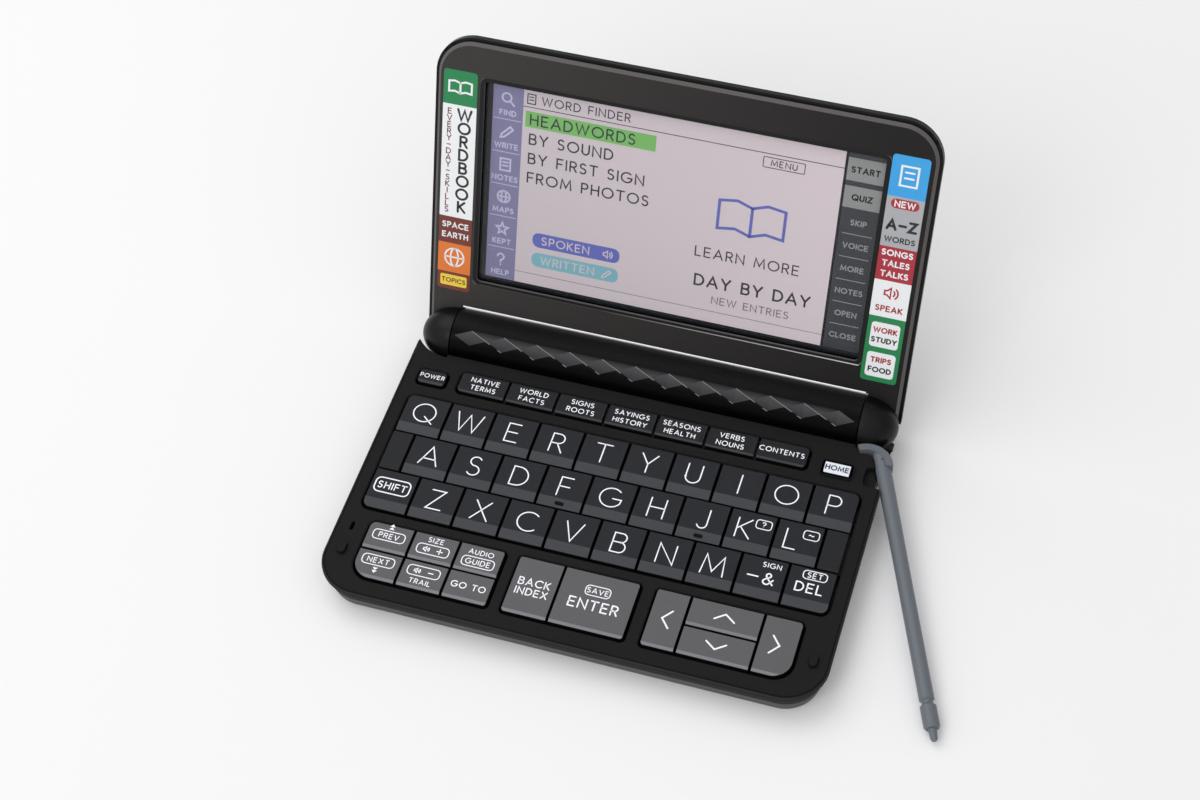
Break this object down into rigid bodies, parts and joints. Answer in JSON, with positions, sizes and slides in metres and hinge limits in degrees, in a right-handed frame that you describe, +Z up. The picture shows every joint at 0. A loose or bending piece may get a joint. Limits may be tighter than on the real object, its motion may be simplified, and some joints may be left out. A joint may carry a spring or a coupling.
{
  "type": "electronic dictionary",
  "caption": "Clamshell electronic dictionary with a hinged display lid, a round battery barrel with diamond facets, a letter keyboard and a pen in its corner recess.",
  "frame": {"origin": "centre of the lower case's underside", "axes": "+X to the right of the reader, +Y from the front edge towards the hinge, +Z up"},
  "size_m": [0.1801, 0.1376, 0.098],
  "materials": {
    "deck_black": "fine matt texture",
    "case_black": "fine matt texture",
    "barrel_black": "satin",
    "cell_jacket": "printed sleeve",
    "contact_steel": "plated",
    "mat_rubber": "matt",
    "board_green": "satin",
    "pin_steel": "turned",
    "foot_rubber": "matt",
    "screw_steel": "plated",
    "bezel_dark": "fine matt texture",
    "lid_black": "satin",
    "display_glass": "clear",
    "display_panel": "printed",
    "pen_grey": "satin",
    "key_dark": "satin",
    "key_grey": "metallic paint",
    "key_white": "satin"
  },
  "bodies": {
    "case": {"upper_case": "deck_black", "lower_case": "case_black", "battery_barrel": "barrel_black", "batteries": "cell_jacket", "battery_contacts": "contact_steel", "key_mat": "mat_rubber", "main_board": "board_green", "rubber_feet": "foot_rubber", "case_screws": "screw_steel"},
    "lid": {"lid_bezel": "bezel_dark", "lid_cover": "lid_black", "display_glass": "display_glass", "display_panel": "display_panel", "hinge_pins": "pin_steel"},
    "battery_cover": {"battery_cover": "barrel_black"},
    "pen": {"stylus": "pen_grey"},
    "key_power": {"key_power": "key_dark"},
    "key_books": {"key_books": "key_dark"},
    "key_home": {"key_home": "key_white"},
    "key_q": {"key_q": "key_dark"},
    "key_w": {"key_w": "key_dark"},
    "key_e": {"key_e": "key_dark"},
    "key_r": {"key_r": "key_dark"},
    "key_t": {"key_t": "key_dark"},
    "key_y": {"key_y": "key_dark"},
    "key_u": {"key_u": "key_dark"},
    "key_i": {"key_i": "key_dark"},
    "key_o": {"key_o": "key_dark"},
    "key_p": {"key_p": "key_dark"},
    "key_a": {"key_a": "key_dark"},
    "key_s": {"key_s": "key_dark"},
    "key_d": {"key_d": "key_dark"},
    "key_f": {"key_f": "key_dark"},
    "key_g": {"key_g": "key_dark"},
    "key_h": {"key_h": "key_dark"},
    "key_j": {"key_j": "key_dark"},
    "key_k": {"key_k": "key_dark"},
    "key_l": {"key_l": "key_dark"},
    "key_shift": {"key_shift": "key_dark"},
    "key_z": {"key_z": "key_dark"},
    "key_x": {"key_x": "key_dark"},
    "key_c": {"key_c": "key_dark"},
    "key_v": {"key_v": "key_dark"},
    "key_b": {"key_b": "key_dark"},
    "key_n": {"key_n": "key_dark"},
    "key_m": {"key_m": "key_dark"},
    "key_dash": {"key_dash": "key_dark"},
    "key_delete": {"key_delete": "key_dark"},
    "key_page_down": {"key_page_down": "key_grey"},
    "key_volume_down": {"key_volume_down": "key_grey"},
    "key_jump": {"key_jump": "key_grey"},
    "key_page_up": {"key_page_up": "key_grey"},
    "key_volume_up": {"key_volume_up": "key_grey"},
    "key_search": {"key_search": "key_grey"},
    "key_back": {"key_back": "key_grey"},
    "key_enter": {"key_enter": "key_grey"},
    "key_left": {"key_left": "key_grey"},
    "key_down": {"key_down": "key_grey"},
    "key_up": {"key_up": "key_grey"},
    "key_right": {"key_right": "key_grey"}
  },
  "joints": [
    {"name": "lid_hinge", "type": "hinge", "parent": "case", "child": "lid", "pos_m": [0, 0.0441, 0.0083], "axis": [-1, 0, 0], "range_deg": [-111, 39]},
    {"name": "battery_cover_slide", "type": "slide", "parent": "case", "child": "battery_cover", "axis": [0, 1, 0], "range_m": [0, 0.02]},
    {"name": "pen_slide", "type": "slide", "parent": "case", "child": "pen", "axis": [1, 0, 0], "range_m": [0, 0.03]},
    {"name": "press_power", "type": "slide", "parent": "case", "child": "key_power", "axis": [0, 0, -1], "range_m": [0, 0.0006], "stiffness_N_per_m": 500},
    {"name": "press_books", "type": "slide", "parent": "case", "child": "key_books", "axis": [0, 0, -1], "range_m": [0, 0.0006], "stiffness_N_per_m": 500},
    {"name": "press_home", "type": "slide", "parent": "case", "child": "key_home", "axis": [0, 0, -1], "range_m": [0, 0.0006], "stiffness_N_per_m": 500},
    {"name": "press_q", "type": "slide", "parent": "case", "child": "key_q", "axis": [0, 0, -1], "range_m": [0, 0.0006], "stiffness_N_per_m": 500},
    {"name": "press_w", "type": "slide", "parent": "case", "child": "key_w", "axis": [0, 0, -1], "range_m": [0, 0.0006], "stiffness_N_per_m": 500},
    {"name": "press_e", "type": "slide", "parent": "case", "child": "key_e", "axis": [0, 0, -1], "range_m": [0, 0.0006], "stiffness_N_per_m": 500},
    {"name": "press_r", "type": "slide", "parent": "case", "child": "key_r", "axis": [0, 0, -1], "range_m": [0, 0.0006], "stiffness_N_per_m": 500},
    {"name": "press_t", "type": "slide", "parent": "case", "child": "key_t", "axis": [0, 0, -1], "range_m": [0, 0.0006], "stiffness_N_per_m": 500},
    {"name": "press_y", "type": "slide", "parent": "case", "child": "key_y", "axis": [0, 0, -1], "range_m": [0, 0.0006], "stiffness_N_per_m": 500},
    {"name": "press_u", "type": "slide", "parent": "case", "child": "key_u", "axis": [0, 0, -1], "range_m": [0, 0.0006], "stiffness_N_per_m": 500},
    {"name": "press_i", "type": "slide", "parent": "case", "child": "key_i", "axis": [0, 0, -1], "range_m": [0, 0.0006], "stiffness_N_per_m": 500},
    {"name": "press_o", "type": "slide", "parent": "case", "child": "key_o", "axis": [0, 0, -1], "range_m": [0, 0.0006], "stiffness_N_per_m": 500},
    {"name": "press_p", "type": "slide", "parent": "case", "child": "key_p", "axis": [0, 0, -1], "range_m": [0, 0.0006], "stiffness_N_per_m": 500},
    {"name": "press_a", "type": "slide", "parent": "case", "child": "key_a", "axis": [0, 0, -1], "range_m": [0, 0.0006], "stiffness_N_per_m": 500},
    {"name": "press_s", "type": "slide", "parent": "case", "child": "key_s", "axis": [0, 0, -1], "range_m": [0, 0.0006], "stiffness_N_per_m": 500},
    {"name": "press_d", "type": "slide", "parent": "case", "child": "key_d", "axis": [0, 0, -1], "range_m": [0, 0.0006], "stiffness_N_per_m": 500},
    {"name": "press_f", "type": "slide", "parent": "case", "child": "key_f", "axis": [0, 0, -1], "range_m": [0, 0.0006], "stiffness_N_per_m": 500},
    {"name": "press_g", "type": "slide", "parent": "case", "child": "key_g", "axis": [0, 0, -1], "range_m": [0, 0.0006], "stiffness_N_per_m": 500},
    {"name": "press_h", "type": "slide", "parent": "case", "child": "key_h", "axis": [0, 0, -1], "range_m": [0, 0.0006], "stiffness_N_per_m": 500},
    {"name": "press_j", "type": "slide", "parent": "case", "child": "key_j", "axis": [0, 0, -1], "range_m": [0, 0.0006], "stiffness_N_per_m": 500},
    {"name": "press_k", "type": "slide", "parent": "case", "child": "key_k", "axis": [0, 0, -1], "range_m": [0, 0.0006], "stiffness_N_per_m": 500},
    {"name": "press_l", "type": "slide", "parent": "case", "child": "key_l", "axis": [0, 0, -1], "range_m": [0, 0.0006], "stiffness_N_per_m": 500},
    {"name": "press_shift", "type": "slide", "parent": "case", "child": "key_shift", "axis": [0, 0, -1], "range_m": [0, 0.0006], "stiffness_N_per_m": 500},
    {"name": "press_z", "type": "slide", "parent": "case", "child": "key_z", "axis": [0, 0, -1], "range_m": [0, 0.0006], "stiffness_N_per_m": 500},
    {"name": "press_x", "type": "slide", "parent": "case", "child": "key_x", "axis": [0, 0, -1], "range_m": [0, 0.0006], "stiffness_N_per_m": 500},
    {"name": "press_c", "type": "slide", "parent": "case", "child": "key_c", "axis": [0, 0, -1], "range_m": [0, 0.0006], "stiffness_N_per_m": 500},
    {"name": "press_v", "type": "slide", "parent": "case", "child": "key_v", "axis": [0, 0, -1], "range_m": [0, 0.0006], "stiffness_N_per_m": 500},
    {"name": "press_b", "type": "slide", "parent": "case", "child": "key_b", "axis": [0, 0, -1], "range_m": [0, 0.0006], "stiffness_N_per_m": 500},
    {"name": "press_n", "type": "slide", "parent": "case", "child": "key_n", "axis": [0, 0, -1], "range_m": [0, 0.0006], "stiffness_N_per_m": 500},
    {"name": "press_m", "type": "slide", "parent": "case", "child": "key_m", "axis": [0, 0, -1], "range_m": [0, 0.0006], "stiffness_N_per_m": 500},
    {"name": "press_dash", "type": "slide", "parent": "case", "child": "key_dash", "axis": [0, 0, -1], "range_m": [0, 0.0006], "stiffness_N_per_m": 500},
    {"name": "press_delete", "type": "slide", "parent": "case", "child": "key_delete", "axis": [0, 0, -1], "range_m": [0, 0.0006], "stiffness_N_per_m": 500},
    {"name": "press_page_down", "type": "slide", "parent": "case", "child": "key_page_down", "axis": [0, 0, -1], "range_m": [0, 0.0006], "stiffness_N_per_m": 500},
    {"name": "press_volume_down", "type": "slide", "parent": "case", "child": "key_volume_down", "axis": [0, 0, -1], "range_m": [0, 0.0006], "stiffness_N_per_m": 500},
    {"name": "press_jump", "type": "slide", "parent": "case", "child": "key_jump", "axis": [0, 0, -1], "range_m": [0, 0.0006], "stiffness_N_per_m": 500},
    {"name": "press_page_up", "type": "slide", "parent": "case", "child": "key_page_up", "axis": [0, 0, -1], "range_m": [0, 0.0006], "stiffness_N_per_m": 500},
    {"name": "press_volume_up", "type": "slide", "parent": "case", "child": "key_volume_up", "axis": [0, 0, -1], "range_m": [0, 0.0006], "stiffness_N_per_m": 500},
    {"name": "press_search", "type": "slide", "parent": "case", "child": "key_search", "axis": [0, 0, -1], "range_m": [0, 0.0006], "stiffness_N_per_m": 500},
    {"name": "press_back", "type": "slide", "parent": "case", "child": "key_back", "axis": [0, 0, -1], "range_m": [0, 0.0006], "stiffness_N_per_m": 500},
    {"name": "press_enter", "type": "slide", "parent": "case", "child": "key_enter", "axis": [0, 0, -1], "range_m": [0, 0.0006], "stiffness_N_per_m": 500},
    {"name": "press_left", "type": "slide", "parent": "case", "child": "key_left", "axis": [0, 0, -1], "range_m": [0, 0.0006], "stiffness_N_per_m": 500},
    {"name": "press_down", "type": "slide", "parent": "case", "child": "key_down", "axis": [0, 0, -1], "range_m": [0, 0.0006], "stiffness_N_per_m": 500},
    {"name": "press_up", "type": "slide", "parent": "case", "child": "key_up", "axis": [0, 0, -1], "range_m": [0, 0.0006], "stiffness_N_per_m": 500},
    {"name": "press_right", "type": "slide", "parent": "case", "child": "key_right", "axis": [0, 0, -1], "range_m": [0, 0.0006], "stiffness_N_per_m": 500}
  ]
}
